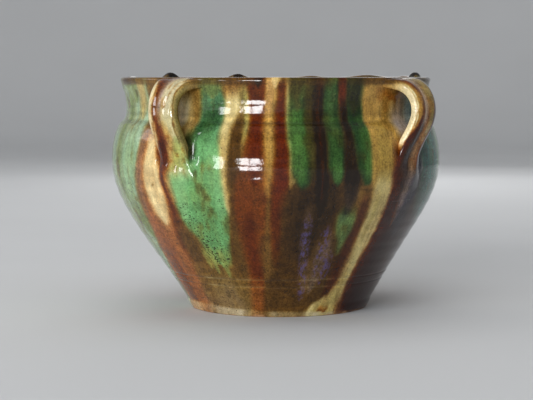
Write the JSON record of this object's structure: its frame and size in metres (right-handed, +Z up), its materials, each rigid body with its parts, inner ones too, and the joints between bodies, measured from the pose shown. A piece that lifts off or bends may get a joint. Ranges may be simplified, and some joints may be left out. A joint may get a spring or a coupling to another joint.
{
  "type": "planter pot",
  "caption": "Round glazed earthenware planter with a flared neck, a wide shoulder, a narrow foot and grooved strap handles from lip to shoulder.",
  "frame": {"origin": "on the flat underside, below the middle of the belly", "axes": "+Z up, through the mouth; +X through handle_right and +Y through handle_back, two handles a quarter turn apart"},
  "size_m": [0.32, 0.32, 0.2068],
  "materials": {
    "body_glaze": null,
    "handle_glaze": null
  },
  "bodies": {
    "root": {"pot_body": "body_glaze", "handle_right": "handle_glaze", "handle_back": "handle_glaze", "handle_left": "handle_glaze", "handle_front": "handle_glaze"}
  },
  "joints": []
}
